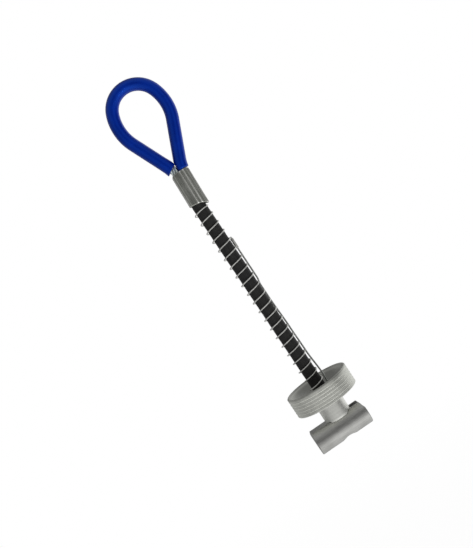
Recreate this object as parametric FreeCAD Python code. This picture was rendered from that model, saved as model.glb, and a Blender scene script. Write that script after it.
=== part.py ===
import FreeCAD, Part
import math
import os

from FreeCAD import Vector

# A reusable cable toggle anchor, in millimetres.
# The rope's shaft is the Z axis, with +Z towards the eye. The origin is the centre of the collar's
# underside, the face that rests on the structure. The toggle bar and the eye both lie in the XZ plane.

GAP = 0.05  # air between pieces that touch on the real anchor

# wire rope and its two plastic sleeves
ROPE_R = 3.175
EYE_SLEEVE_R = 4.9
SHAFT_SLEEVE_R = 5.5
SLEEVE_BORE_R = ROPE_R + GAP
SHAFT_SLEEVE_BOTTOM = -2.0
SHAFT_SLEEVE_TOP = 185.3

# pressed ferrule that closes the eye
FERRULE_BOTTOM = 185.5
FERRULE_TOP = 217.0
FERRULE_BOTTOM_X = 0.9
FERRULE_TOP_X = 2.0
FERRULE_WIDTH = 15.4
FERRULE_DEPTH = 13.4
FERRULE_CORNER_R = 2.6
FERRULE_EDGE = 0.8
FERRULE_LIFT = 0.3  # keeps the leaning block's low corner clear of the shaft's sleeve
BEND_START = 0.5  # inside the ferrule, where the shaft begins to bend over
DEAD_END_Z = 191.0
EMPTY_MOUTH_X = 4.8  # below the rope's dead end the second bore is empty
EMPTY_MOUTH_R = 2.5
MOUTH_SHORT = 1.0  # of the rope's dead end

# the eye, a teardrop that is symmetric about EYE_X
EYE_X = 2.0
EYE_TOP = 296.7  # top of the rope's centre line
LEG_SPACING = 6.45  # between the two rope legs inside the ferrule
LEG_LEAN = 23.8  # degrees from the shaft's direction
FLARE_R = 34.0
SIDE_R = 36.8
HEAD_R = 21.2
HEAD_HALF_TURN = 68.7  # degrees of the head's arc on each side of the top
SHIFT_R = 40.0  # the two small bends that carry the shaft over into the ferrule
LEFT_SLEEVE_END = 221.0
RIGHT_SLEEVE_END = 218.1
SLEEVES_PART = 232.0  # below this the two legs press on each other and are flat

# collar: a dished disc with a neck that fits the structure's hole
DISC_R = 27.35
DISC_HEIGHT = 16.8
DISC_EDGE = 0.45
RIM_WIDTH = 1.3
FLOOR_R = 12.0
FLOOR_Z = 10.0
BORE_R = 5.75
BORE_EDGE = 0.5
NECK_R = 11.4
NECK_FLAT_Z = -15.35  # sits on the toggle's flat
NECK_LIP_Z = -16.7  # two lips that straddle the toggle
NECK_LEAD = 0.2  # how much the lips taper in, to lead the neck into the hole
SADDLE_HALF_WIDTH = 7.8
GROOVES = 5
GROOVE_FIRST_Z = 2.3
GROOVE_PITCH = 2.6
GROOVE_HALF_WIDTH = 0.8
GROOVE_DEPTH = 0.38

# toggle bar, whose axis is along X
PIVOT_Z = -24.7
TOGGLE_R = 11.0
TOGGLE_LEFT = -27.2
TOGGLE_RIGHT = 21.2
TOGGLE_EDGE = 0.5
FLAT_HEIGHT = 9.3  # of the milled flat above the bar's axis
LEFT_BEVEL = (0.9, 3.5)
RIGHT_BEVEL = (2.4, 5.2)
SLOT_HALF_WIDTH = 3.7
SLOT_FLOOR = -3.6  # below the bar's axis
POCKET_R = 7.3
POCKET_X = -1.5
SEAT_R = 5.9

# ball swaged on the rope's end, which the toggle turns on
BALL_R = 5.7
BALL_FLAT = 4.7

# thin release cable, its stop above the collar, and the small ball that holds it in the toggle
CABLE_R = 0.75
CABLE_FROM_AXIS = 8.65
CABLE_ANGLE = 24.0  # degrees behind the plane of the eye
CABLE_HOLE_R = 1.25
CABLE_ARM = CABLE_FROM_AXIS * math.cos(math.radians(CABLE_ANGLE))
CABLE_Y = CABLE_FROM_AXIS * math.sin(math.radians(CABLE_ANGLE))
STOP_R = 1.3
STOP_BOTTOM = 141.0
STOP_TOP = 150.0
STOP_EDGE = 0.3
CABLE_TAIL = 1.5
CABLE_END_GAP = 0.2  # above the small ball, for the cable's flexing as the toggle turns
SMALL_BALL_R = 1.5
SMALL_POCKET_R = 1.65
CABLE_GROOVE_HALF_WIDTH = 0.95
CABLE_GROOVE_START = 5.0
CABLE_GROOVE_FLOOR = -CABLE_ARM - CABLE_GROOVE_HALF_WIDTH

# compression spring between the collar and the ferrule
WIRE_R = 0.53
SPRING_R = 6.75
SPRING_PITCH = 8.27
SPRING_START = 69.0  # degrees from +X, where the lowest coil begins
SPRING_TOP_GAP = 0.4  # under the ferrule

X_AXIS = Vector(1, 0, 0)
Y_AXIS = Vector(0, 1, 0)
Z_AXIS = Vector(0, 0, 1)
FAR = 100.0  # longer than any cut needs


def box(low, high):
    """A box between two opposite corners."""
    size = high - low
    return Part.makeBox(size.x, size.y, size.z, low)


def heading_vector(heading):
    """The unit vector at an angle from +X towards +Z."""
    angle = math.radians(heading)
    return Vector(math.cos(angle), 0, math.sin(angle))


def travel(start, heading, moves):
    """Edges of a flat route: a one-number move is a run, and a pair is a bend of (radius, turn)."""
    edges = []
    for move in moves:
        if isinstance(move, tuple):
            radius, turn = move
            inward = heading + math.copysign(90, turn)
            centre = start + heading_vector(inward) * radius
            middle = centre - heading_vector(inward + turn / 2) * radius
            end = centre - heading_vector(inward + turn) * radius
            edges.append(Part.Arc(start, middle, end).toShape())
            heading += turn
        else:
            end = start + heading_vector(heading) * move
            edges.append(Part.LineSegment(start, end).toShape())
        start = end
    return edges


def rod(edges, radius):
    """A round rod along a route that starts straight."""
    first = edges[0]
    start = first.valueAt(first.FirstParameter)
    along = first.tangentAt(first.FirstParameter)
    profile = Part.Wire(Part.Circle(start, along, radius).toShape())
    return Part.Wire(edges).makePipeShell([profile], True, False)


def eye_half_moves():
    """The moves from the start of a leg's flare up to the eye's top."""
    side_turn = LEG_LEAN + 90 - HEAD_HALF_TURN
    lean = math.radians(LEG_LEAN)
    head = math.radians(HEAD_HALF_TURN)
    flare_out = FLARE_R * (1 - math.cos(lean))
    side_out = SIDE_R * (math.sin(head) - math.cos(lean))
    reach = HEAD_R * math.sin(head) - flare_out - side_out - LEG_SPACING / 2
    leg = reach / math.sin(lean)
    return [(FLARE_R, LEG_LEAN), leg, (SIDE_R, -side_turn), (HEAD_R, -HEAD_HALF_TURN)]


def eye_half_height():
    """The height of the same stretch along Z."""
    lean = math.radians(LEG_LEAN)
    head = math.radians(HEAD_HALF_TURN)
    leg = eye_half_moves()[1]
    flare = FLARE_R * math.sin(lean)
    side = SIDE_R * (math.sin(lean) + math.cos(head))
    return flare + leg * math.cos(lean) + side + HEAD_R * (1 - math.cos(head))


def mirrored(moves):
    """The same stretch travelled from its far end, which is the eye's other half."""
    return list(reversed(moves))


def rope_edges():
    """The rope's centre line, from the ball up the shaft, round the eye and back into the ferrule."""
    start = Vector(0, 0, PIVOT_Z - BALL_FLAT)
    shift = EYE_X - LEG_SPACING / 2
    turn = math.degrees(math.acos(1 - abs(shift) / 2 / SHIFT_R))
    shift_height = 2 * SHIFT_R * math.sin(math.radians(turn))
    flare_z = EYE_TOP - eye_half_height()
    up = eye_half_moves()
    bend_z = FERRULE_BOTTOM + BEND_START
    shaft = bend_z - start.z
    inside = flare_z - bend_z - shift_height
    moves = [shaft, (SHIFT_R, turn), (SHIFT_R, -turn), inside]
    moves += up + mirrored(up) + [flare_z - DEAD_END_Z]
    return travel(start, 90, moves)


def make_main_rope():
    return rod(rope_edges(), ROPE_R)


def eye_sleeve_half(radius, side, end_z):
    """One leg of the eye's sleeve up to the top, cut square at end_z. side is -1 or 1."""
    height = eye_half_height()
    start = Vector(EYE_X - LEG_SPACING / 2, 0, EYE_TOP - height)
    leg = rod(travel(start, 90, eye_half_moves()), radius)
    above = end_z - start.z
    turned = math.asin(above / FLARE_R)
    cut_at = start + Vector(-FLARE_R * (1 - math.cos(turned)), 0, above)
    below = box(Vector(-FAR, -FAR, -FAR), Vector(FAR, FAR, 0))
    below.rotate(Vector(), Y_AXIS, -math.degrees(turned))
    below.translate(cut_at)
    leg = leg.cut(below)
    other_leg = box(Vector(EYE_X - GAP / 2, -FAR, 0), Vector(EYE_X + FAR, FAR, SLEEVES_PART))
    leg = leg.cut(other_leg)
    if side > 0:
        leg = leg.mirror(Vector(EYE_X, 0, 0), X_AXIS)
    return leg


def make_eye_sleeve():
    """Blue plastic tube over the rope's eye."""
    left = eye_sleeve_half(EYE_SLEEVE_R, -1, LEFT_SLEEVE_END)
    right = eye_sleeve_half(EYE_SLEEVE_R, 1, RIGHT_SLEEVE_END)
    bore = rod(rope_edges(), SLEEVE_BORE_R)
    return left.fuse(right).removeSplitter().cut(bore)


def make_shaft_sleeve():
    """Black plastic tube over the rope's shaft."""
    height = SHAFT_SLEEVE_TOP - SHAFT_SLEEVE_BOTTOM
    foot = Vector(0, 0, SHAFT_SLEEVE_BOTTOM)
    tube = Part.makeCylinder(SHAFT_SLEEVE_R, height, foot)
    return tube.cut(Part.makeCylinder(SLEEVE_BORE_R, height, foot))


def is_upright(edge):
    return abs(edge.tangentAt(edge.FirstParameter).z) > 0.9


def make_ferrule(main_rope):
    """Aluminium ferrule pressed round both legs of the rope, leaning a little."""
    length = FERRULE_TOP - FERRULE_BOTTOM
    corner = Vector(-FERRULE_WIDTH / 2, -FERRULE_DEPTH / 2, 0)
    block = Part.makeBox(FERRULE_WIDTH, FERRULE_DEPTH, length, corner)
    upright = [edge for edge in block.Edges if is_upright(edge)]
    block = block.makeFillet(FERRULE_CORNER_R, upright)
    rims = [edge for edge in block.Edges if not is_upright(edge)]
    block = block.makeFillet(FERRULE_EDGE, rims)
    lean = math.degrees(math.atan((FERRULE_TOP_X - FERRULE_BOTTOM_X) / length))
    block.rotate(Vector(), Y_AXIS, lean)
    block.translate(Vector(FERRULE_BOTTOM_X, 0, FERRULE_BOTTOM + FERRULE_LIFT))
    mouth_foot = Vector(EMPTY_MOUTH_X, 0, FERRULE_BOTTOM - FERRULE_EDGE)
    mouth_top = DEAD_END_Z - MOUTH_SHORT
    mouth = Part.makeCylinder(EMPTY_MOUTH_R, mouth_top - mouth_foot.z, mouth_foot)
    return block.cut(main_rope).cut(mouth)


def make_rope_end_ball():
    """Steel ball swaged on the rope's end, flat underneath."""
    ball = Part.makeSphere(BALL_R, Vector(0, 0, PIVOT_Z))
    below = box(Vector(-FAR, -FAR, -FAR), Vector(FAR, FAR, PIVOT_Z - BALL_FLAT))
    bore = Part.makeCylinder(ROPE_R, 2 * BALL_R, Vector(0, 0, PIVOT_Z - BALL_R))
    return ball.cut(below).cut(bore)


def groove_edges(z):
    """A shallow round groove in the disc's side, from below upwards."""
    low = Vector(DISC_R, 0, z - GROOVE_HALF_WIDTH)
    deepest = Vector(DISC_R - GROOVE_DEPTH, 0, z)
    high = Vector(DISC_R, 0, z + GROOVE_HALF_WIDTH)
    return low, deepest, high


def collar_profile():
    """The collar's half section, anticlockwise from the bore's foot."""
    outline = []

    def line_to(radius, z):
        end = Vector(radius, 0, z)
        outline.append(Part.LineSegment(line_to.here, end).toShape())
        line_to.here = end

    line_to.here = Vector(BORE_R, 0, NECK_LIP_Z)
    line_to(NECK_R - NECK_LEAD, NECK_LIP_Z)
    line_to(NECK_R, NECK_FLAT_Z)
    line_to(NECK_R, 0)
    line_to(DISC_R - DISC_EDGE, 0)
    line_to(DISC_R, DISC_EDGE)
    for index in range(GROOVES):
        low, deepest, high = groove_edges(GROOVE_FIRST_Z + index * GROOVE_PITCH)
        line_to(low.x, low.z)
        outline.append(Part.Arc(low, deepest, high).toShape())
        line_to.here = high
    line_to(DISC_R, DISC_HEIGHT - DISC_EDGE)
    line_to(DISC_R - DISC_EDGE, DISC_HEIGHT)
    line_to(DISC_R - RIM_WIDTH, DISC_HEIGHT)
    line_to(FLOOR_R, FLOOR_Z)
    line_to(BORE_R + BORE_EDGE, FLOOR_Z)
    line_to(BORE_R, FLOOR_Z - BORE_EDGE)
    line_to(BORE_R, NECK_LIP_Z)
    return Part.Wire(outline)


def make_collar():
    """Turned aluminium collar, with a hole for the release cable and a saddle across its foot."""
    collar = Part.Face(collar_profile()).revolve(Vector(), Z_AXIS, 360)
    saddle_low = Vector(-FAR, -SADDLE_HALF_WIDTH, NECK_LIP_Z - 1)
    saddle = box(saddle_low, Vector(FAR, SADDLE_HALF_WIDTH, NECK_FLAT_Z))
    hole = Part.makeCylinder(CABLE_HOLE_R, FAR, Vector(CABLE_ARM, CABLE_Y, NECK_LIP_Z - 1))
    return collar.cut(saddle).cut(hole)


def toggle_blank():
    """The bar before milling, with its ends chamfered."""
    corners = [
        Vector(TOGGLE_LEFT, 0, PIVOT_Z),
        Vector(TOGGLE_LEFT, 0, PIVOT_Z + TOGGLE_R - TOGGLE_EDGE),
        Vector(TOGGLE_LEFT + TOGGLE_EDGE, 0, PIVOT_Z + TOGGLE_R),
        Vector(TOGGLE_RIGHT - TOGGLE_EDGE, 0, PIVOT_Z + TOGGLE_R),
        Vector(TOGGLE_RIGHT, 0, PIVOT_Z + TOGGLE_R - TOGGLE_EDGE),
        Vector(TOGGLE_RIGHT, 0, PIVOT_Z),
    ]
    face = Part.Face(Part.makePolygon(corners + corners[:1]))
    return face.revolve(corners[0], X_AXIS, 360)


def end_bevel(end_x, bevel):
    """The wedge that bevels the flat's corner at one end of the bar."""
    length, drop = bevel
    inward = -math.copysign(length, end_x)
    top = PIVOT_Z + FLAT_HEIGHT
    slope = Vector(inward, 0, drop)
    low = Vector(end_x, -FAR, top - drop) - slope
    high = Vector(end_x, -FAR, top - drop) + slope * 2
    outer = Vector(end_x - 3 * inward, -FAR, top + drop)
    wedge = Part.Face(Part.makePolygon([low, high, outer, low]))
    return wedge.extrude(Vector(0, 2 * FAR, 0))


def rope_slot():
    """The slot that the rope lies in when the toggle folds, open on top and at the right end."""
    low = Vector(0, -SLOT_HALF_WIDTH, PIVOT_Z + SLOT_FLOOR)
    run = box(low, Vector(FAR, SLOT_HALF_WIDTH, FAR))
    end = Part.makeCylinder(SLOT_HALF_WIDTH, FAR, Vector(0, 0, PIVOT_Z))
    return run.fuse(end)


def ball_pocket():
    """The ball's pocket, bored from below, with a round seat at its top."""
    bore = Part.makeCylinder(POCKET_R, FAR, Vector(POCKET_X, 0, PIVOT_Z - FAR))
    seat = Part.makeSphere(SEAT_R, Vector(0, 0, PIVOT_Z))
    return bore.fuse(seat)


def cable_groove():
    """The narrow groove along the slot's far side, and the small ball's pocket, bored from below."""
    width = CABLE_GROOVE_HALF_WIDTH
    low = Vector(CABLE_GROOVE_START, CABLE_Y - width, PIVOT_Z + CABLE_GROOVE_FLOOR)
    groove = box(low, Vector(FAR, CABLE_Y + width, FAR))
    centre = Vector(CABLE_ARM, CABLE_Y, PIVOT_Z - CABLE_ARM)
    bore = Part.makeCylinder(SMALL_POCKET_R, FAR, centre - Vector(0, 0, FAR))
    return groove.fuse(bore).fuse(Part.makeSphere(SMALL_POCKET_R, centre))


def make_toggle_bar():
    """Steel bar that lies across the hole's far side, and folds in line with the rope."""
    bar = toggle_blank()
    above_flat = box(Vector(-FAR, -FAR, PIVOT_Z + FLAT_HEIGHT), Vector(FAR, FAR, FAR))
    bar = bar.cut(above_flat)
    bar = bar.cut(end_bevel(TOGGLE_LEFT, LEFT_BEVEL))
    bar = bar.cut(end_bevel(TOGGLE_RIGHT, RIGHT_BEVEL))
    return bar.cut(rope_slot()).cut(ball_pocket()).cut(cable_groove())


def make_spring():
    """Light compression spring round the shaft's sleeve, right-handed."""
    low = FLOOR_Z + WIRE_R + GAP
    high = FERRULE_BOTTOM - WIRE_R - SPRING_TOP_GAP
    helix = Part.makeHelix(SPRING_PITCH, high - low, SPRING_R)
    helix.rotate(Vector(), Z_AXIS, SPRING_START)
    helix.translate(Vector(0, 0, low))
    edge = helix.Edges[0]
    start = edge.valueAt(edge.FirstParameter)
    along = edge.tangentAt(edge.FirstParameter)
    profile = Part.Wire(Part.Circle(start, along, WIRE_R).toShape())
    return Part.Wire(helix.Edges).makePipeShell([profile], True, True)


def make_release_cable():
    """Thin steel cable from the stop down through the collar to the small ball in the toggle."""
    low = PIVOT_Z - CABLE_ARM + SMALL_BALL_R + CABLE_END_GAP
    high = STOP_TOP + CABLE_TAIL
    return Part.makeCylinder(CABLE_R, high - low, Vector(CABLE_ARM, CABLE_Y, low))


def make_release_stop():
    """Crimped sleeve on the release cable, which the collar lifts near the end of its travel."""
    height = STOP_TOP - STOP_BOTTOM
    foot = Vector(CABLE_ARM, CABLE_Y, STOP_BOTTOM)
    sleeve = Part.makeCylinder(STOP_R, height, foot)
    rims = [edge for edge in sleeve.Edges if edge.Curve.TypeId == "Part::GeomCircle"]
    sleeve = sleeve.makeFillet(STOP_EDGE, rims)
    return sleeve.cut(Part.makeCylinder(CABLE_R, height, foot))


def make_release_ball():
    """Small ball swaged on the release cable's lower end, held in the toggle."""
    return Part.makeSphere(SMALL_BALL_R, Vector(CABLE_ARM, CABLE_Y, PIVOT_Z - CABLE_ARM))


def main():
    os.makedirs("parts", exist_ok=True)
    main_rope = make_main_rope()
    nodes = {
        "main_rope": main_rope,
        "eye_sleeve": make_eye_sleeve(),
        "shaft_sleeve": make_shaft_sleeve(),
        "ferrule": make_ferrule(main_rope),
        "rope_end_ball": make_rope_end_ball(),
        "collar": make_collar(),
        "toggle_bar": make_toggle_bar(),
        "spring": make_spring(),
        "release_cable": make_release_cable(),
        "release_stop": make_release_stop(),
        "release_ball": make_release_ball(),
    }
    for name, shape in nodes.items():
        solids = len(shape.Solids)
        print(name, "valid", shape.isValid(), "solids", solids, "volume", round(shape.Volume, 1))
        shape.exportStep(os.path.join("parts", name + ".step"))


main()
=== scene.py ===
import math

import bpy
from mathutils import Matrix, Vector


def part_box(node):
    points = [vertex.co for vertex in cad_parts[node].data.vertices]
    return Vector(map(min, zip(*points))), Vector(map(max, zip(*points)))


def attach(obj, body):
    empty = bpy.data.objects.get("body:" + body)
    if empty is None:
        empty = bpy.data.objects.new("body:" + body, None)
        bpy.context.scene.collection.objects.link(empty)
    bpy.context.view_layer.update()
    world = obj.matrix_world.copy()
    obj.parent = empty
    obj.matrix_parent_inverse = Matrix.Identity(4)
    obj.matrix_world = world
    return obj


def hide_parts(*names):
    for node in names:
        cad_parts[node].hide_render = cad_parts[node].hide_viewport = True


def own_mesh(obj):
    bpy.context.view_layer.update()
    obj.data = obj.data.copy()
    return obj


# The looks of a reusable cable toggle anchor, in metres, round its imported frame.
# The shaft is the Z axis, the eye and the toggle bar lie in the XZ plane, and -Y is the front.
# The CAD solids of the rope, its sleeves, the ferrule, the spring, the release cable and its stop are
# replaced by finer pieces. The collar, the toggle bar and the balls keep theirs and get a material.

MM = 0.001
FULL_TURN = 2 * math.pi
X = Vector((1, 0, 0))
Y = Vector((0, 1, 0))
Z = Vector((0, 0, 1))

# the main rope, as in the part's source
ROPE_R = 3.175 * MM
ROPE_LAY = 41 * MM  # the length of one full turn of its strands
STRANDS = 6
ROPE_START = 29.4 * MM  # below the origin, inside the toggle bar
DEAD_END = 191 * MM
LEGS_SPACING = 6.45 * MM  # between the two legs inside the ferrule
BEND_HEIGHTS = (180 * MM, 189.5 * MM, 196.5 * MM)  # where the shaft bends over into its leg
LEGS_BOTTOM = 205 * MM  # where both legs are upright inside the ferrule

# its bare stretch on the left, between the ferrule and the blue tube, where the strands open a little
BARE_STARTS = (215.5 * MM, 218 * MM)  # the heights between which the opening sets in
BARE_ENDS = (223 * MM, 226 * MM)
BARE_SWELL = 0.1
BARE_SHIFT = 0.55 * MM

# the sleeves, whose walls are a little thicker than CAD's, as in the photograph
SLEEVE_BORE_R = 3.225 * MM
EYE_SLEEVE_R = 5.3 * MM
EYE_SLEEVE_LEFT_END = 221 * MM
EYE_SLEEVE_RIGHT_END = 218.1 * MM
EYE_SLEEVE_FOOT = 217.35 * MM  # of its right end
LEFT_CUT_LEVEL = 222.65 * MM  # where the left end's slanting cut meets the shaft's axis
LEFT_CUT_SLOPE = 0.57
LEFT_CUT_REACH = 9 * MM  # how far up the tube the cut's slant fades out
SHAFT_SLEEVE_R = 5.7 * MM
SHAFT_SLEEVE_TOP = 189.4 * MM  # inside the ferrule's mouth

# the eye's corners, from its top down one side: the run to each, in mm, and the turn there, in degrees
EYE_RUNS = [
    (4.2, 22.9),
    (8.4, 22.9),
    (8.37, 22.9),
    (9.13, 15.0),
    (9.7, 15.0),
    (9.7, 15.1),
    (9.7, 0),
    (22.9, 0),
    (7.1, -11.9),
    (7.1, -11.9),
]

# the ferrule
FERRULE_WIDTH = 15.4 * MM
FERRULE_DEPTH = 13.4 * MM
FERRULE_CORNER_R = 2.6 * MM
FERRULE_FOOT = 185.8 * MM
FERRULE_TOP = 217.25 * MM
FERRULE_FOOT_X = 0.9 * MM  # its middle there, because it leans a little
FERRULE_TOP_X = 2.0 * MM
FERRULE_DROOP = 1.4 * MM  # of its top's two corners
RIB_PLACES = (-0.15 * MM, 2.9 * MM)  # right of its middle
RIB_HEIGHT = 0.6 * MM
RIB_WIDTH = 0.45 * MM
MOUTH_SHARE = 0.86  # of its lower mouth's size in its outline
MOUTH_TOP = 190 * MM
TOP_MOUTH_SHARE = 0.66
TOP_MOUTH_DEPTH = 3.2 * MM

# the spring, which lies a little to the left of the shaft's middle
SPRING_R = 6.75 * MM
SPRING_SHIFT = -0.4 * MM
WIRE_R = 0.53 * MM
SPRING_PITCH = 8.35 * MM
SPRING_SETTLED = 1.7 * MM  # how far its last turn lies below the ferrule's end of its space
SPRING_START = math.radians(69)  # from +X, where the wire begins to rise
FOOT_TURN = math.radians(280)  # how much of a turn lies flat at each end
TOP_TURN = math.radians(150)
FOOT_SOFTNESS = math.radians(16)  # how gently the wire leaves each flat turn
TOP_SOFTNESS = math.radians(40)

# the release cable. It keeps near its CAD line where the collar's hole is at rest and at the limit.
CABLE_R = 0.75 * MM
CABLE_LAY = 6 * MM
CABLE_WANDER = [  # height, how far it bows away from the shaft there, and how far backwards, in mm
    (-16, 0, 0),
    (-6, 0.4, 0),
    (10, 0.45, 0),
    (18, 0.95, 0),
    (42, -0.35, 0),
    (65, -0.6, 0.3),
    (94, -1.3, 1.2),
    (106, -1.3, 1.2),
    (113, -0.42, 0),
]

# the camera
IMAGE_HEIGHT = 548
FOCAL_PIXELS = 850  # its focal length in the picture's pixels
SENSOR_SIZE = 36
CAMERA_DISTANCE = 0.68
CAMERA_AZIMUTH = math.radians(3)
CAMERA_PITCH = math.radians(2.2)
CAMERA_ROLL = math.radians(33.6)
AIM_ACROSS = -5.12 * MM
AIM_HEIGHT = 124.1 * MM

FLOOR_Z = -0.30
FLOOR_R = 3.0
FLOOR_GLOW = 0.56
FLOOR_FADE = (0.15, 0.9)  # how far out it begins and ends to fade into the backdrop

# each worked metal: its light and dark patches in display values, roughness, how finely its marks are
# spaced along X, Y and Z, how deep they are, how rounded its edges look, and its grain's axis
METALS = {
    "rope_steel_strands": (
        (240, 247, 246), (205, 215, 214), 0.34, (900, 900, 900), 0.02 * MM, 0, None
    ),
    "spring_steel_drawn": (
        (222, 222, 218), (190, 190, 186), 0.24, (1200, 1200, 1200), 0.006 * MM, 0, None
    ),
    "release_steel_strands": (
        (215, 217, 214), (160, 162, 159), 0.34, (1500, 1500, 1500), 0.01 * MM, 0, None
    ),
    "stop_metal_crimped": (
        (225, 225, 220), (190, 190, 185), 0.32, (900, 900, 500), 0.02 * MM, 0, None
    ),
    "ball_steel_swaged": (
        (190, 190, 186), (140, 140, 136), 0.3, (700, 700, 1500), 0.02 * MM, 0.2 * MM, None
    ),
    "toggle_steel_satin": (
        (184, 184, 181), (154, 154, 151), 0.32, (90, 1900, 1900), 0.03 * MM, 0.3 * MM, "X"
    ),
    "ferrule_aluminium_pressed": (
        (188, 190, 183), (150, 152, 145), 0.26, (1900, 1900, 110), 0.05 * MM, 0, None
    ),
}

# the studio's light: its level all round, then each lobe's direction, the cosines from its middle where it
# starts and where it is full, and how much light it adds
LIGHT_LEVEL = 0.5
LIGHT_LOBES = [
    ((0, -0.2, -1), 0.3, 0.95, 0.5),
    ((0.8, 0.6, 0), 0.5, 0.95, 0.5),
    ((0, -0.98, 0.2), 0.9, 0.99, -0.3),
    ((0, 0, 1), 0.3, 0.9, 0.14),
    ((0.14, -0.67, -0.74), 0.9, 0.98, 0.3),
    ((0.97, -0.24, 0), 0.8, 0.97, -0.44),
    ((-1, -0.1, 0), 0.75, 0.97, -0.22),
    ((0, 1, 0), 0.9, 0.98, -0.4),
    ((0, 0.45, 0.89), 0.6, 0.95, -0.25),
]
SUN_ENERGY = 3.5
SUN_ANGLE = math.radians(25)
SUN_FROM = (0.3, -0.8, -0.5)

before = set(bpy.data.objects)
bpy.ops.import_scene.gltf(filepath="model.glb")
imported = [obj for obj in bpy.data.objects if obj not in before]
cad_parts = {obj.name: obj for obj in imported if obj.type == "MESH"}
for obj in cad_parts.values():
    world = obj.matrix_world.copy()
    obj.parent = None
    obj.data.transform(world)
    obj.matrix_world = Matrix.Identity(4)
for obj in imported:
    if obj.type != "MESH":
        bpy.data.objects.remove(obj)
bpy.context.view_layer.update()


# ---------------------------------------------------------------- meshes


def add_mesh(name, points, faces):
    """A smooth-shaded mesh object in the scene."""
    mesh = bpy.data.meshes.new(name)
    mesh.from_pydata(points, [], faces)
    mesh.validate()
    for face in mesh.polygons:
        face.use_smooth = True
    obj = bpy.data.objects.new(name, mesh)
    bpy.context.scene.collection.objects.link(obj)
    return obj


def loft(name, rings, tubular=False):
    """A skin over rings of equally many points, closed by fans or, for a tube, back to its first ring."""
    count = len(rings[0])
    points = [point for ring in rings for point in ring]
    faces = []
    for row in range(len(rings) if tubular else len(rings) - 1):
        here = row * count
        there = (row + 1) % len(rings) * count
        for i in range(count):
            after = (i + 1) % count
            faces.append((here + i, here + after, there + after, there + i))
    if not tubular:
        for ring, order in ((0, -1), (len(rings) - 1, 1)):
            middle = sum(rings[ring], Vector()) / count
            points.append(middle)
            for i in range(count):
                edge = [ring * count + i, ring * count + (i + 1) % count]
                faces.append((len(points) - 1, *edge[::order]))
    return add_mesh(name, points, faces)


def circle(centre, across, behind, radius, count):
    """A ring of points in the plane of two directions."""
    ring = []
    for i in range(count):
        angle = FULL_TURN * i / count
        ring.append(centre + (across * math.cos(angle) + behind * math.sin(angle)) * radius)
    return ring


def smooth_step(value, low, high):
    """0 below low, 1 above high, with a soft start and end."""
    t = min(1, max(0, (value - low) / (high - low)))
    return t * t * (3 - 2 * t)


def soft_ramp(value):
    """0 well below 0 and value well above it, with a soft bend between."""
    limit = 40
    if value < -limit:
        return 0
    return value if value > limit else math.log1p(math.exp(value))


# ---------------------------------------------------------------- the rope's line


class Line:
    """A smooth line through space, read from a NURBS spline, that is looked up by distance."""

    def __init__(self, corners):
        curve = bpy.data.curves.new("rope_line", "CURVE")
        curve.dimensions = "3D"
        curve.resolution_u = 24
        spline = curve.splines.new("NURBS")
        spline.points.add(len(corners) - 1)
        for point, corner in zip(spline.points, corners):
            point.co = (*corner, 1)
        spline.order_u = 3
        spline.use_endpoint_u = True
        guide = bpy.data.objects.new("rope_line", curve)
        bpy.context.scene.collection.objects.link(guide)
        bpy.context.view_layer.update()
        mesh = bpy.data.meshes.new_from_object(guide)
        self.points = [vertex.co.copy() for vertex in mesh.vertices]
        bpy.data.objects.remove(guide)
        self.reach = [0]
        for before, after in zip(self.points, self.points[1:]):
            self.reach.append(self.reach[-1] + (after - before).length)
        self.length = self.reach[-1]

    def point(self, distance):
        """The point at a distance from the line's start."""
        low, high = 0, len(self.reach) - 1
        while high - low > 1:
            middle = (low + high) // 2
            if self.reach[middle] <= distance:
                low = middle
            else:
                high = middle
        share = (distance - self.reach[low]) / (self.reach[high] - self.reach[low])
        return self.points[low].lerp(self.points[high], share)

    def frame(self, distance):
        """The point there, the direction across the line in its plane, and the line's own direction."""
        step = 0.5 * MM
        ahead = self.point(min(self.length, distance + step))
        along = (ahead - self.point(max(0, distance - step))).normalized()
        return self.point(distance), Y.cross(along), along

    def distance_at(self, height, rising):
        """Where the line passes a height on its way up, or down."""
        indexes = range(len(self.points) - 1)
        for i in indexes if rising else reversed(indexes):
            low, high = sorted((self.points[i].z, self.points[i + 1].z))
            if low <= height < high:
                share = (height - self.points[i].z) / (self.points[i + 1].z - self.points[i].z)
                return self.reach[i] + share * (self.reach[i + 1] - self.reach[i])
        raise ValueError(height)


def eye_side(top, side):
    """The corners of the rope's line from the eye's top down one side."""
    here = top.copy()
    heading = 0
    corners = []
    for run, turn in EYE_RUNS:
        across = side * math.cos(heading)
        here = here + Vector((across, 0, -math.sin(heading))) * run * MM
        corners.append(here)
        heading += math.radians(turn)
    return corners


def rope_corners():
    """The rope's whole route: up the shaft, round the eye and back down to its dead end."""
    low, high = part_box("eye_sleeve")
    eye_x = (low.x + high.x) / 2
    top = Vector((eye_x, 0, high.z - EYE_SLEEVE_R))
    left_leg = eye_x - LEGS_SPACING / 2
    right_leg = eye_x + LEGS_SPACING / 2
    bend_start, bend_middle, bend_end = BEND_HEIGHTS
    shaft = [
        Vector((0, 0, -ROPE_START)),
        Vector((0, 0, bend_start)),
        Vector((0, 0, bend_middle)),
        Vector((left_leg, 0, bend_end)),
        Vector((left_leg, 0, LEGS_BOTTOM)),
    ]
    end = [Vector((right_leg, 0, LEGS_BOTTOM)), Vector((right_leg, 0, DEAD_END))]
    return shaft + eye_side(top, -1)[::-1] + eye_side(top, 1) + end


# ---------------------------------------------------------------- pieces of rope


def stations(stretches):
    """Distances along a line, from (end, step) stretches that follow each other from 0."""
    found = [0]
    for end, step in stretches:
        count = max(1, round((end - found[-1]) / step))
        start = found[-1]
        found += [start + (end - start) * (i + 1) / count for i in range(count)]
    return found


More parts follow.
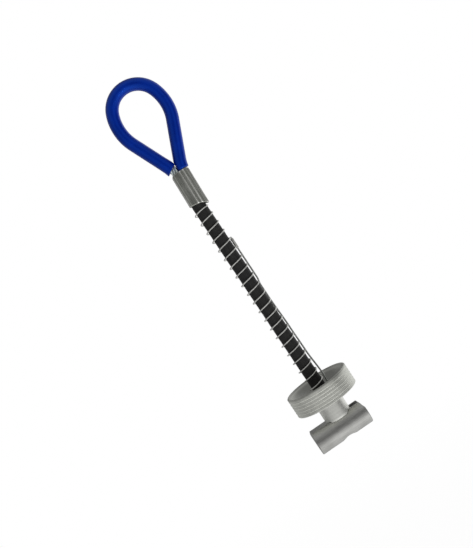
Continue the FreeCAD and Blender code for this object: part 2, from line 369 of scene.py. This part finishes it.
def strand_ring(centre, across, behind, radius, twist, wires=0, wire_twist=0, count=20):
    """The outline of the strands round a core, with the ridges of their outer wires, if any."""
    strand_r = radius / 3
    ridge = 0.07  # how deep the grooves between the wires are, as a share of the strand's radius
    shown = math.radians(120)  # how far round each strand its outline is seen, on each side
    ring = []
    for strand in range(STRANDS):
        angle = twist + FULL_TURN * strand / STRANDS
        middle = (across * math.cos(angle) + behind * math.sin(angle)) * 2 * strand_r
        for i in range(count):
            bend = shown * (2 * i / count - 1)
            wire = ridge * (math.cos(wires * (bend + wire_twist)) - 1)
            around = angle + bend
            out = across * math.cos(around) + behind * math.sin(around)
            ring.append(centre + middle + out * strand_r * (1 + wire))
    return ring


def bare(z):
    """1 where the strands are bare, between the ferrule and the blue tube, and 0 away from it."""
    return smooth_step(z, *BARE_STARTS) * (1 - smooth_step(z, *BARE_ENDS))


def make_rope(line):
    """The main rope, with closely spaced rings only where it shows."""
    visible = 0.4 * MM
    hidden = 5 * MM
    shaft_foot = 0.5 * MM  # just inside the black tube
    bare_foot, bare_top = 216 * MM, 224 * MM
    distances = stations(
        [
            (line.distance_at(shaft_foot, True), visible),
            (line.distance_at(bare_foot, True), hidden),
            (line.distance_at(bare_top, True), visible),
            (line.distance_at(bare_top, False), hidden),
            (line.length, hidden),
        ]
    )
    wires = 12  # round each strand
    wire_lay = -2.2  # turns of the wires in each turn of the strands
    rings = []
    for distance in distances:
        centre, across, along = line.frame(distance)
        twist = FULL_TURN * distance / ROPE_LAY
        loose = bare(centre.z) if centre.x < line.points[-1].x - ROPE_R else 0
        centre = centre + X * BARE_SHIFT * loose
        radius = ROPE_R * (1 + BARE_SWELL * loose)
        rings.append(strand_ring(centre, across, Y, radius, twist, wires, wire_lay * twist))
    return loft("wire_rope", rings)


def part_legs(point, eye_x, side):
    """Presses a leg of the eye's sleeve flat where it meets the other leg."""
    softness = 0.12 * MM
    push = 0.25 * MM  # how far the right leg pushes past the middle at its foot
    wall = eye_x - push * (1 - smooth_step(point.z, 221 * MM, 224 * MM))
    moved = softness * soft_ramp(side * (wall - point.x) / softness)
    return Vector((point.x + side * moved, point.y, point.z))


def slanted(ring, along, level, slope):
    """Moves a ring of the tube along it to a cut at z = level + slope * x."""
    moved = []
    for point in ring:
        gap = (point.z - level - slope * point.x) / (along.z - slope * along.x)
        moved.append(point - along * gap)
    return moved


def make_eye_sleeve(line):
    """The blue tube round the eye, cut slanting at its left end and level at its right."""
    low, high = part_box("eye_sleeve")
    eye_x = (low.x + high.x) / 2
    start = line.distance_at(EYE_SLEEVE_LEFT_END, True)
    end = line.distance_at(EYE_SLEEVE_RIGHT_END, False)
    top = (start + end) / 2
    edge = 0.3 * MM  # of its rounded rims
    rim = edge * 0.3
    inside = 5 * MM
    count = 64
    rows = [(start + inside, SLEEVE_BORE_R), (start, SLEEVE_BORE_R), (start, EYE_SLEEVE_R - edge)]
    rows.append((start + rim, EYE_SLEEVE_R - rim))
    steps = round((end - start - 2 * edge) / (0.8 * MM))
    for i in range(steps + 1):
        rows.append((start + edge + (end - start - 2 * edge) * i / steps, EYE_SLEEVE_R))
    rows.append((end - rim, EYE_SLEEVE_R - rim))
    rows += [(end, EYE_SLEEVE_R - edge), (end, SLEEVE_BORE_R)]
    bore_steps = round((end - start - 2 * inside) / (3 * MM))
    for i in range(bore_steps):
        rows.append((end - inside - (end - start - 2 * inside) * i / bore_steps, SLEEVE_BORE_R))
    foot, foot_across, foot_along = line.frame(start)
    rings = []
    for distance, radius in rows:
        centre, across, along = line.frame(distance)
        side = -1 if distance < top else 1
        ring = circle(centre, across, Y, radius, count)
        share = 1 - (distance - start) / LEFT_CUT_REACH
        if share > 0:
            square = circle(foot, foot_across, Y, radius, count)
            cut = slanted(square, foot_along, LEFT_CUT_LEVEL, LEFT_CUT_SLOPE)
            ring = [point + (to - at) * share for point, to, at in zip(ring, cut, square)]
        if distance > end - edge:
            ring = slanted(ring, along, EYE_SLEEVE_FOOT, 0)
        rings.append([part_legs(point, eye_x, side) for point in ring])
    return loft("eye_tube", rings, tubular=True)


def make_shaft_sleeve():
    """The black tube on the shaft, drawn down so that the rope's strands show faintly."""
    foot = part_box("shaft_sleeve")[0].z
    relief = 0.06 * MM
    edge = 0.25 * MM
    count = 72
    length = SHAFT_SLEEVE_TOP - foot
    middle = foot + length / 2
    steps = 150
    rings = [circle(Z * z, X, Y, SLEEVE_BORE_R, count) for z in (middle, foot)]
    for i in range(steps + 1):
        z = foot + length * i / steps
        from_end = min(z - foot, SHAFT_SLEEVE_TOP - z)
        ring = []
        for k in range(count):
            angle = FULL_TURN * k / count
            strand = math.cos(STRANDS * (angle - FULL_TURN * z / ROPE_LAY)) - 1
            radius = SHAFT_SLEEVE_R + relief * strand / 2 - edge * (from_end == 0)
            ring.append(Vector((radius * math.cos(angle), radius * math.sin(angle), z)))
        rings.append(ring)
    rings.append(circle(Z * SHAFT_SLEEVE_TOP, X, Y, SLEEVE_BORE_R, count))
    return loft("shaft_tube", rings, tubular=True)


# ---------------------------------------------------------------- ferrule


def rib(x, place, width):
    """1 on the crest of a rib at a place across the ferrule, falling to 0 beside it."""
    return math.exp(-(((x - place) / width) ** 2))


def oblong(flat_x, flat_y, radius):
    """The outline of a rounded oblong, with closely spaced points on its front and back."""
    outline = []
    face, side, corner = 70, 12, 10  # how many points on each
    for quarter, (sign_x, sign_y) in enumerate(((1, 1), (-1, 1), (-1, -1), (1, -1))):
        for i in range(corner):
            angle = math.radians(90) * (quarter + i / corner)
            x = sign_x * flat_x + radius * math.cos(angle)
            y = sign_y * flat_y + radius * math.sin(angle)
            outline.append((x, y))
        ahead = (quarter + 1) * math.radians(90)
        steps = side if quarter % 2 else face
        for i in range(steps):
            run = 1 - 2 * i / steps
            x = sign_x * flat_x * (run if quarter % 2 == 0 else 1)
            y = sign_y * flat_y * (run if quarter % 2 else 1)
            outline.append((x + radius * math.cos(ahead), y + radius * math.sin(ahead)))
    return outline


def ferrule_ring(centre, z, shrink, ribs):
    """A rounded oblong with two pressed ribs on its front and back, whose ends aren't cut square."""
    fall = 0.12 * MM  # how much the faces fall away towards the sides
    flat_x = FERRULE_WIDTH / 2 - FERRULE_CORNER_R
    flat_y = FERRULE_DEPTH / 2 - FERRULE_CORNER_R
    ring = []
    for x, y in oblong(flat_x, flat_y, FERRULE_CORNER_R - shrink):
        face = smooth_step(abs(y), flat_y, flat_y + FERRULE_CORNER_R * 0.8)
        raised = sum(rib(x, place, RIB_WIDTH) for place in RIB_PLACES)
        sunk = RIB_HEIGHT * (1 - ribs * raised) + fall * (x / flat_x) ** 2
        y -= math.copysign(face * sunk, y)
        near_foot = 1 - smooth_step(z, FERRULE_FOOT, FERRULE_FOOT + 12 * MM)
        near_top = smooth_step(z, FERRULE_TOP - 8 * MM, FERRULE_TOP)
        droop = FERRULE_DROOP * (2 * x / FERRULE_WIDTH) ** 4
        ring.append(Vector((centre + x, y, z + near_foot * foot_slant(x) - near_top * droop)))
    return ring


def foot_slant(x):
    """How far the ferrule's foot is raised at a place across it: less to the right, and there steeper."""
    raised = 1.4 * MM
    slope, added_slope = 0.16, 0.34
    bend_x, bend_softness = 1.5 * MM, 0.6 * MM
    past_bend = bend_softness * soft_ramp((x - bend_x) / bend_softness)
    return raised - slope * x - added_slope * past_bend


def make_ferrule():
    """The pressed ferrule: ribbed faces, rolled rims and an open mouth at each end."""
    rim = 0.8 * MM
    rings = []
    length = FERRULE_TOP - FERRULE_FOOT

    def add_ring(z, shrink):
        share = (z - FERRULE_FOOT) / length
        centre = FERRULE_FOOT_X + (FERRULE_TOP_X - FERRULE_FOOT_X) * share
        from_end = min(z - FERRULE_FOOT, FERRULE_TOP - z)
        ribs = smooth_step(from_end, 0.3 * MM, 1.5 * MM)
        rings.append(ferrule_ring(centre, z, shrink, ribs))

    foot = [(rim * (1 - math.cos(t)), rim * (1 - math.sin(t))) for t in quarter_turn(6)]
    for rise, shrink in foot:
        add_ring(FERRULE_FOOT + rise, shrink)
    steps = 40
    for i in range(1, steps):
        add_ring(FERRULE_FOOT + rim + (length - 2 * rim) * i / steps, 0)
    for rise, shrink in reversed(foot):
        add_ring(FERRULE_TOP - rise, shrink)
    foot_middle = sum(rings[0], Vector()) / len(rings[0])
    lip = [foot_middle + (point - foot_middle) * MOUTH_SHARE for point in rings[0]]
    inner = [Vector((point.x, point.y, MOUTH_TOP)) for point in lip]
    top_middle = sum(rings[-1], Vector()) / len(rings[-1])
    top_lip = [top_middle + (point - top_middle) * TOP_MOUTH_SHARE for point in rings[-1]]
    top_inner = [point - Z * TOP_MOUTH_DEPTH for point in top_lip]
    rings = [inner, lip] + rings + [top_lip, top_inner]
    return loft("ferrule_body", rings)


def quarter_turn(steps):
    """Angles from 0 to a right angle."""
    return [math.radians(90) * i / steps for i in range(steps + 1)]


# ---------------------------------------------------------------- spring, cable, stop


def make_spring():
    """The spring's wire, whose last turn at each end lies flat."""
    low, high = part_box("spring")
    foot = low.z + WIRE_R
    top = high.z - WIRE_R - SPRING_SETTLED
    turned = FULL_TURN * (top - foot) / SPRING_PITCH
    whole = FOOT_TURN + turned + TOP_TURN
    sides = 12
    per_turn = 60
    steps = round(whole / FULL_TURN * per_turn)
    rings = []

    def height(angle):
        """Flat before the start and after the end of the rise, and a helix between them."""
        rise = FOOT_SOFTNESS * soft_ramp(angle / FOOT_SOFTNESS)
        rise -= TOP_SOFTNESS * soft_ramp((rise - turned) / TOP_SOFTNESS)
        return foot + SPRING_PITCH * rise / FULL_TURN

    def place(angle):
        around = SPRING_START + angle
        flat = Vector((math.cos(around), math.sin(around), 0)) * SPRING_R
        return flat + X * SPRING_SHIFT + Z * height(angle)

    nudge = 0.01  # radians
    for i in range(steps + 1):
        angle = -FOOT_TURN + whole * i / steps
        centre = place(angle)
        along = (place(angle + nudge) - place(angle - nudge)).normalized()
        out = X * math.cos(SPRING_START + angle) + Y * math.sin(SPRING_START + angle)
        rings.append(circle(centre, out, along.cross(out), WIRE_R, sides))
    return loft("spring_wire", rings)


def cable_wander(z):
    """How far the release cable bows out of its straight line at a height, as a vector."""
    for low, high in zip(CABLE_WANDER, CABLE_WANDER[1:]):
        if z <= high[0] * MM:
            share = smooth_step(z, low[0] * MM, high[0] * MM)
            across = low[1] + (high[1] - low[1]) * share
            behind = low[2] + (high[2] - low[2]) * share
            return Vector((across, behind, 0)) * MM
    return Vector((*CABLE_WANDER[-1][1:], 0)) * MM


def make_release_cable():
    """The release cable, a thin rope of strands without ridges."""
    low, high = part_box("release_cable")
    middle = (low + high) / 2
    steps = round((high.z - low.z) / (0.25 * MM))
    rings = []
    for i in range(steps + 1):
        z = low.z + (high.z - low.z) * i / steps
        centre = Vector((middle.x, middle.y, z)) + cable_wander(z)
        rings.append(strand_ring(centre, X, Y, CABLE_R, FULL_TURN * z / CABLE_LAY, count=8))
    return loft("thin_cable", rings)


def make_release_stop():
    """The crimped stop: a short sleeve on the cable, squeezed flat by two pairs of jaws."""
    low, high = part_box("release_stop")
    middle = (low + high) / 2 + cable_wander(low.z)
    radius = (high.x - low.x) / 2
    edge = 0.3 * MM
    steps = 40
    count = 48
    inside = 1 * MM
    jaws = (0.3, 0.7)  # along its length
    jaw_width = 0.09
    squeezed = 0.17  # how much of its radius the jaws push in
    jaw_angle = 0.6

    def bore(z):
        return circle(Vector((middle.x, middle.y, z)), X, Y, CABLE_R, count)

    rings = [bore(low.z + inside), bore(low.z)]
    for i in range(steps + 1):
        share = i / steps
        z = low.z + (high.z - low.z) * share
        from_end = min(z - low.z, high.z - z)
        rounded = edge * (1 - math.sqrt(1 - (1 - min(1, from_end / edge)) ** 2))
        squeeze = sum(rib(share, jaw, jaw_width) for jaw in jaws)
        ring = []
        for k in range(count):
            angle = FULL_TURN * k / count
            flat = squeezed * squeeze * max(0, math.sin(2 * angle + jaw_angle)) ** 2
            reach = (radius - rounded) * (1 - flat)
            ring.append(Vector((middle.x + reach * math.cos(angle), middle.y + reach * math.sin(angle), z)))
        rings.append(ring)
    rings += [bore(high.z), bore(high.z - inside)]
    return loft("stop_sleeve", rings, tubular=True)


# ---------------------------------------------------------------- materials


def colour(red, green, blue):
    """A linear colour from display values of 0 to 255."""

    def linear(value):
        value /= 255
        return value / 12.92 if value <= 0.04045 else ((value + 0.055) / 1.055) ** 2.4

    return (linear(red), linear(green), linear(blue), 1)


class Look:
    """A node tree for a material or the world, with short calls to add nodes."""

    def __init__(self, tree):
        self.tree = tree

    def node(self, kind, inputs=(), output=0, **settings):
        """Adds a node, feeds its inputs and returns one of its outputs."""
        made = self.tree.nodes.new("ShaderNode" + kind)
        for name, value in settings.items():
            setattr(made, name, value)
        for name, value in dict(inputs).items():
            self.feed(made.inputs[name], value)
        return made.outputs[output]

    def feed(self, socket, value):
        """Links an output to a socket, or sets the socket's value."""
        if isinstance(value, bpy.types.NodeSocket):
            self.tree.links.new(value, socket)
        else:
            socket.default_value = value

    def math(self, operation, first, second=0.0, third=0.0):
        return self.node("Math", {0: first, 1: second, 2: third}, operation=operation)

    def noise(self, vector, scale, detail=3.0, roughness=0.55):
        inputs = {"Vector": vector, "Scale": scale, "Detail": detail, "Roughness": roughness}
        return self.node("TexNoise", inputs)

    def stretched(self, scale):
        """Object coordinates scaled by a different number along each axis."""
        coordinates = self.node("TexCoord", output="Object")
        return self.node("Mapping", {"Vector": coordinates, "Scale": scale})

    def between(self, value, low, high, to_low, to_high):
        """A value's place between low and high, as one between to_low and to_high."""
        inputs = {"Value": value, "From Min": low, "From Max": high, "To Min": to_low, "To Max": to_high}
        return self.node("MapRange", inputs)

    def mix(self, share, first, second):
        return self.node("MixRGB", {"Fac": share, "Color1": first, "Color2": second})

    def bump(self, height, distance, strength=1.0, normal=None):
        inputs = {"Height": height, "Distance": distance, "Strength": strength}
        if normal is not None:
            inputs["Normal"] = normal
        return self.node("Bump", inputs)


def new_look(name):
    """A material with its Principled shader, as (material, look, shader)."""
    material = bpy.data.materials.new(name)
    material.use_nodes = True
    look = Look(material.node_tree)
    return material, look, material.node_tree.nodes["Principled BSDF"]


def metal(name):
    """A worked metal, with patches of two shades and fine marks along its grain."""
    light, dark, roughness, grain, grain_depth, bevel, axis = METALS[name]
    material, look, shader = new_look(name)
    patches = look.noise(look.stretched((1, 1, 1)), 60.0, 4.0)
    marks = look.noise(look.stretched(grain), 1.0, 4.0, 0.6)
    fine = look.noise(look.stretched((1, 1, 1)), 2600.0, 2.0)
    share = look.between(look.math("ADD", patches, marks), 0.75, 1.25, 0.0, 1.0)
    look.feed(shader.inputs["Base Color"], look.mix(share, colour(*dark), colour(*light)))
    shader.inputs["Metallic"].default_value = 1.0
    rough = look.between(marks, 0.3, 0.7, roughness * 0.82, roughness * 1.18)
    look.feed(shader.inputs["Roughness"], rough)
    normal = look.node("Bevel", {"Radius": bevel}, samples=4) if bevel else None
    height = look.math("ADD", marks, look.math("MULTIPLY", fine, 0.35))
    look.feed(shader.inputs["Normal"], look.bump(height, grain_depth, 1.0, normal))
    if axis:
        shader.inputs["Anisotropic"].default_value = 0.5
        look.feed(shader.inputs["Tangent"], look.node("Tangent", direction_type="RADIAL", axis=axis))
    return material


def pressed_metal():
    """The ferrule's matt aluminium, with painted highlights on its ribs, corners and sides that fade
    towards its top.
    """
    # A near-white painted on as highlight on the ribs, the corner and the sides.
    painted_highlight = colour(255, 255, 250)
    corner_place = 0.43 * FERRULE_WIDTH
    material = metal("ferrule_aluminium_pressed")
    look = Look(material.node_tree)
    base_socket = material.node_tree.nodes["Principled BSDF"].inputs["Base Color"]
    base = base_socket.links[0].from_socket
    split = look.node("SeparateXYZ", {"Vector": look.node("TexCoord", output="Object")})
    x, y, z = split.node.outputs
    lean = (FERRULE_TOP_X - FERRULE_FOOT_X) / (FERRULE_TOP - FERRULE_FOOT)
    centre = look.math("MULTIPLY_ADD", z, lean, FERRULE_FOOT_X - FERRULE_FOOT * lean)
    across = look.math("SUBTRACT", x, centre)
    # Painted highlights: the rib crests, the right corner and both sides are mixed towards near-white.
    highlight_share = 0.0
    for place in (*RIB_PLACES, corner_place):
        away = look.math("ABSOLUTE", look.math("SUBTRACT", across, place))
        highlight_share = look.math("MAXIMUM", highlight_share, look.between(away, 0.2 * MM, 0.75 * MM, 1.0, 0.0))
    from_middle = look.math("ABSOLUTE", across)
    sides = look.between(from_middle, 0.44 * FERRULE_WIDTH, 0.48 * FERRULE_WIDTH, 0.0, 0.9)
    highlight_share = look.math("MAXIMUM", highlight_share, sides)
    # The painted highlights fade to 60 per cent from the foot to the top.
    highlight_fade = look.between(z, FERRULE_FOOT, FERRULE_TOP, 1.0, 0.6)
    look.feed(base_socket, look.mix(look.math("MULTIPLY", highlight_share, highlight_fade), base, painted_highlight))
    return material


def turned_metal():
    """The collar, turned about the Z axis: fine rings, painted shade in its dish that eases off towards its
    left and right as a painted sheen, and a neck below the disc painted lighter as a painted highlight.
    """
    light, dark = colour(224, 225, 218), colour(198, 199, 192)
    # The second pair: a grey painted into the dish as shade, and a near-white painted onto the neck as
    # highlight.
    shade_grey, painted_highlight = colour(138, 139, 134), colour(252, 252, 248)
    roughness = 0.42
    spiral = 0.00012  # how far the tool's mark moves out in each radian
    material, look, shader = new_look("collar_aluminium_turned")
    coordinates = look.node("TexCoord", output="Object")
    split = look.node("SeparateXYZ", {"Vector": coordinates})
    x, y, z = split.node.outputs
    squares = look.math("ADD", look.math("MULTIPLY", x, x), look.math("MULTIPLY", y, y))
    radius = look.math("SQRT", squares)
    angle = look.math("ARCTAN2", y, x)
    rings_at = look.node("CombineXYZ", {0: radius, 1: look.math("MULTIPLY", angle, spiral), 2: z})
    rings = look.noise(rings_at, 3800.0, 3.0, 0.6)
    coarse = look.noise(rings_at, 700.0, 2.0)
    blotches = look.noise(coordinates, 95.0, 4.0, 0.6)
    grit = look.noise(coordinates, 3000.0, 2.0)
    share = look.between(look.math("ADD", rings, blotches), 0.75, 1.25, 0.0, 1.0)
    # Painted shade: the dish's inside above its floor and the rim's top are mixed towards the grey.
    inside = look.between(radius, 21 * MM, 26.2 * MM, 1.0, 0.0)
    above_floor = look.between(z, 9.2 * MM, 10.2 * MM, 0.0, 1.0)
    rim = look.between(z, 15.3 * MM, 16.1 * MM, 0.0, 0.8)
    dish_painted_shade = look.math("MAXIMUM", look.math("MULTIPLY", inside, above_floor), rim)
    # Painted sheen: the painted shade eases off to 40 per cent towards the dish's left and right, like a
    # turned face's bow-tie highlight.
    painted_sheen_at_sides = look.between(look.math("ABSOLUTE", x), 16 * MM, 27 * MM, 1.0, 0.4)
    shade = look.mix(look.math("MULTIPLY", dish_painted_shade, painted_sheen_at_sides), look.mix(share, dark, light), shade_grey)
    # Painted highlight: the neck below the disc is mixed 40 per cent towards near-white.
    neck = look.between(z, -0.8 * MM, 0, 0.4, 0.0)
    look.feed(shader.inputs["Base Color"], look.mix(neck, shade, painted_highlight))
    shader.inputs["Metallic"].default_value = 1.0
    rough = look.between(blotches, 0.3, 0.7, roughness * 0.85, roughness * 1.15)
    look.feed(shader.inputs["Roughness"], rough)
    shader.inputs["Anisotropic"].default_value = 0.45
    look.feed(shader.inputs["Tangent"], look.node("Tangent", direction_type="RADIAL", axis="Z"))
    height = look.math("ADD", rings, look.math("MULTIPLY", coarse, 1.4))
    height = look.math("ADD", height, look.math("MULTIPLY", grit, 0.5))
    rounded = look.node("Bevel", {"Radius": 0.25 * MM}, samples=4)
    look.feed(shader.inputs["Normal"], look.bump(height, 0.03 * MM, 1.0, rounded))
    return material


def glossy_blue():
    """Blue PVC tube: glossy, a little uneven, with a faint haze from handling."""
    material, look, shader = new_look("eye_plastic_blue")
    coordinates = look.node("TexCoord", output="Object")
    haze = look.noise(coordinates, 120.0, 4.0, 0.6)
    tint = look.mix(look.between(haze, 0.35, 0.65, 0.0, 1.0), colour(0, 15, 92), colour(0, 20, 104))
    look.feed(shader.inputs["Base Color"], tint)
    look.feed(shader.inputs["Roughness"], look.between(haze, 0.3, 0.7, 0.26, 0.36))
    shader.inputs["IOR"].default_value = 1.9
    shader.inputs["Specular IOR Level"].default_value = 0.8
    shader.inputs["Specular Tint"].default_value = (0.04, 0.2, 1.0, 1)
    waves = look.noise(coordinates, 260.0, 2.0)
    ripples = look.noise(coordinates, 1500.0, 2.0)
    height = look.math("ADD", waves, look.math("MULTIPLY", ripples, 0.08))
    look.feed(shader.inputs["Normal"], look.bump(height, 0.2 * MM, 0.35))
    return material


def matt_black():
    """Black extruded sleeve: matt, mottled, with scuffs along it."""
    material, look, shader = new_look("shaft_plastic_black")
    coordinates = look.node("TexCoord", output="Object")
    mottle = look.noise(coordinates, 420.0, 4.0, 0.65)
    scuffs = look.noise(look.stretched((2600, 2600, 160)), 1.0, 3.0)
    share = look.between(look.math("ADD", mottle, scuffs), 0.8, 1.25, 0.0, 1.0)
    look.feed(shader.inputs["Base Color"], look.mix(share, colour(15, 15, 15), colour(28, 28, 27)))
    look.feed(shader.inputs["Roughness"], look.between(mottle, 0.3, 0.7, 0.5, 0.68))
    shader.inputs["Specular IOR Level"].default_value = 0.3
    height = look.math("ADD", mottle, look.math("MULTIPLY", scuffs, 0.6))
    look.feed(shader.inputs["Normal"], look.bump(height, 0.12 * MM, 0.5))
    return material


def paint(obj, material):
    """Gives every slot of an object the material."""
    if not obj.material_slots:
        obj.data.materials.append(material)
    for slot in obj.material_slots:
        slot.material = material


# ---------------------------------------------------------------- studio


def add_lobe(look, total, direction, start, full, strength):
    """Adds light from round a direction; start and full are cosines from its middle."""
    there = look.node("TexCoord", output="Generated")
    aim = Vector(direction).normalized()
    facing = look.node("VectorMath", {0: there, 1: aim}, "Value", operation="DOT_PRODUCT")
    inputs = {"Value": facing, "From Min": start, "From Max": full, "To Min": 0.0, "To Max": strength}
    lobe = look.node("MapRange", inputs, interpolation_type="SMOOTHSTEP")
    return look.math("ADD", total, lobe)


def light_studio():
    """Soft light from all round, stronger from below and behind, on a white backdrop."""
    world = bpy.data.worlds.new("studio")
    bpy.context.scene.world = world
    world.use_nodes = True
    look = Look(world.node_tree)
    world.node_tree.nodes.clear()
    total = LIGHT_LEVEL
    for lobe in LIGHT_LOBES:
        total = add_lobe(look, total, *lobe)
    soft = look.node("Background", {"Color": (1, 1, 1, 1), "Strength": total})
    white = look.node("Background", {"Color": (1, 1, 1, 1), "Strength": 1.0})
    seen = look.node("LightPath", output="Is Camera Ray")
    both = look.node("MixShader", {0: seen, 1: soft, 2: white})
    out = world.node_tree.nodes.new("ShaderNodeOutputWorld")
    world.node_tree.links.new(both, out.inputs["Surface"])


def light_plastics():
    """A soft sun from below the front that lights the plastics and isn't mirrored in the metals."""
    data = bpy.data.lights.new("front_light", "SUN")
    data.energy = SUN_ENERGY
    data.angle = SUN_ANGLE
    lamp = bpy.data.objects.new("front_light", data)
    towards = Vector(SUN_FROM).normalized()
    lamp.rotation_mode = "QUATERNION"
    lamp.rotation_quaternion = towards.to_track_quat("Z", "Y")
    lamp.visible_glossy = False
    bpy.context.scene.collection.objects.link(lamp)


def make_floor():
    """A wide pale floor that fades into the white backdrop."""
    steps = 96
    points = [Vector((0, 0, FLOOR_Z))]
    points += circle(Vector((0, 0, FLOOR_Z)), X, Y, FLOOR_R, steps)
    faces = [(0, 1 + i, 1 + (i + 1) % steps) for i in range(steps)]
    floor = add_mesh("floor", points, faces)
    material = bpy.data.materials.new("floor_pale")
    material.use_nodes = True
    look = Look(material.node_tree)
    material.node_tree.nodes.clear()
    coordinates = look.node("TexCoord", output="Object")
    flat = look.node("VectorMath", {0: coordinates, 1: (1, 1, 0)}, operation="MULTIPLY")
    away = look.node("VectorMath", {0: flat}, "Value", operation="LENGTH")
    grain = look.noise(coordinates, 900.0, 2.0)
    pale = look.mix(grain, (0.80, 0.80, 0.80, 1), (0.84, 0.84, 0.84, 1))
    lit = look.node("BsdfDiffuse", {"Color": pale})
    glow = look.node("Emission", {"Color": (1, 1, 1, 1), "Strength": FLOOR_GLOW})
    near = look.node("AddShader", {0: lit, 1: glow})
    far = look.node("Emission", {"Color": (1, 1, 1, 1), "Strength": 1.0})
    fade = look.between(away, *FLOOR_FADE, 0.0, 1.0)
    both = look.node("MixShader", {0: fade, 1: near, 2: far})
    out = material.node_tree.nodes.new("ShaderNodeOutputMaterial")
    material.node_tree.links.new(both, out.inputs["Surface"])
    paint(floor, material)
    floor.visible_glossy = False
    floor.visible_diffuse = False
    floor.visible_shadow = False


def place_camera():
    """A little above the shaft's middle and to the left, rolled so that the anchor leans."""
    ahead = Vector((math.sin(CAMERA_AZIMUTH), math.cos(CAMERA_AZIMUTH), 0))
    forward = ahead * math.cos(CAMERA_PITCH) - Z * math.sin(CAMERA_PITCH)
    across = Vector((math.cos(CAMERA_AZIMUTH), -math.sin(CAMERA_AZIMUTH), 0))
    above = across.cross(forward)
    right = across * math.cos(CAMERA_ROLL) - above * math.sin(CAMERA_ROLL)
    up = above * math.cos(CAMERA_ROLL) + across * math.sin(CAMERA_ROLL)
    aim = across * AIM_ACROSS + Z * AIM_HEIGHT
    data = bpy.data.cameras.new("camera")
    data.sensor_width = SENSOR_SIZE
    data.lens = FOCAL_PIXELS / IMAGE_HEIGHT * SENSOR_SIZE
    camera = bpy.data.objects.new("camera", data)
    turn = Matrix((right, up, -forward)).transposed().to_4x4()
    camera.matrix_world = Matrix.Translation(aim - forward * CAMERA_DISTANCE) @ turn
    bpy.context.scene.collection.objects.link(camera)
    bpy.context.scene.camera = camera


# ---------------------------------------------------------------- put together


def stand_for(obj, node, body, material):
    """A new piece that takes a CAD node's place."""
    paint(obj, material)
    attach(obj, body)
    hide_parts(node)


place_camera()
light_studio()
light_plastics()
make_floor()
bpy.context.scene.view_settings.view_transform = "Standard"

line = Line(rope_corners())
stand_for(make_rope(line), "main_rope", "rope", metal("rope_steel_strands"))
stand_for(make_eye_sleeve(line), "eye_sleeve", "rope", glossy_blue())
stand_for(make_shaft_sleeve(), "shaft_sleeve", "rope", matt_black())
stand_for(make_ferrule(), "ferrule", "rope", pressed_metal())
spring = make_spring()
stand_for(spring, "spring", "rope", metal("spring_steel_drawn"))
cable_metal = metal("release_steel_strands")
stand_for(make_release_cable(), "release_cable", "release", cable_metal)
stand_for(make_release_stop(), "release_stop", "release", metal("stop_metal_crimped"))

ball_metal = metal("ball_steel_swaged")
paint(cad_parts["collar"], turned_metal())
paint(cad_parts["toggle_bar"], metal("toggle_steel_satin"))
paint(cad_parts["rope_end_ball"], ball_metal)
paint(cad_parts["release_ball"], ball_metal)

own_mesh(spring)
